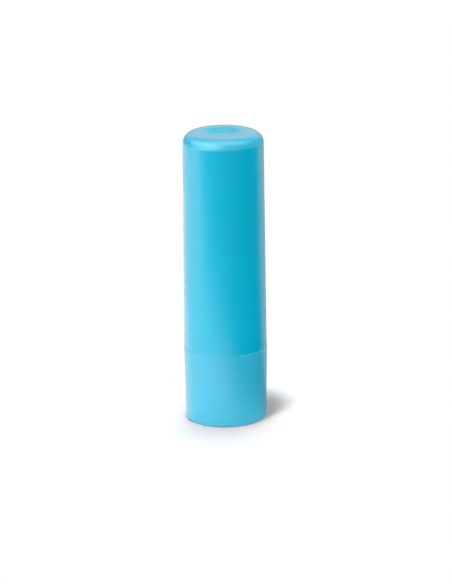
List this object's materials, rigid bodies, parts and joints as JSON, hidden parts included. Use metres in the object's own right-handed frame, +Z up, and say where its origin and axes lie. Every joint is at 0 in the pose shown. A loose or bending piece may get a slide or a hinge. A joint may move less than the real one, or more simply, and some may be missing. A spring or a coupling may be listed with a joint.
{
  "type": "lip balm stick",
  "caption": "Upright cylindrical lip balm stick: a twist base with a threaded spindle raises the balm in an inner tube, under a long pull-off cap with a dished top.",
  "frame": {"origin": "centre of the foot ring, on the surface that the stick stands on", "axes": "+Z up along the stick's axis, from the foot to the cap's top; +X and +Y are square to it, with +X to the right in the picture"},
  "size_m": [0.019, 0.019, 0.067],
  "materials": {
    "base_plastic": "satin moulded polypropylene, sky blue, slightly paler than the cap",
    "spindle_plastic": "natural white moulded plastic",
    "tube_plastic": "white moulded polypropylene, satin",
    "carrier_plastic": "natural white moulded plastic",
    "balm_wax": "pale cream wax with a soft sheen",
    "cap_plastic": "satin moulded polypropylene, sky blue"
  },
  "bodies": {
    "base": {"base_shell": "base_plastic", "spindle": "spindle_plastic"},
    "tube": {"inner_tube": "tube_plastic"},
    "carrier": {"carrier": "carrier_plastic", "balm": "balm_wax"},
    "cap": {"cap": "cap_plastic"}
  },
  "joints": [
    {"name": "base_twist", "type": "hinge", "parent": "base", "child": "tube", "pos_m": [0, 0, 0.0085], "axis": [0, 0, -1], "range_deg": [0, 2880]},
    {"name": "carrier_rise", "type": "slide", "parent": "tube", "child": "carrier", "axis": [0, 0, 1], "range_m": [0, 0.032]},
    {"name": "cap_pull", "type": "slide", "parent": "carrier", "child": "cap", "axis": [0, 0, 1], "range_m": [0, 0.055]}
  ],
  "couplings": [
    {"joint": "carrier_rise", "follows": "base_twist", "m_per_rad": 0.00063662}
  ]
}
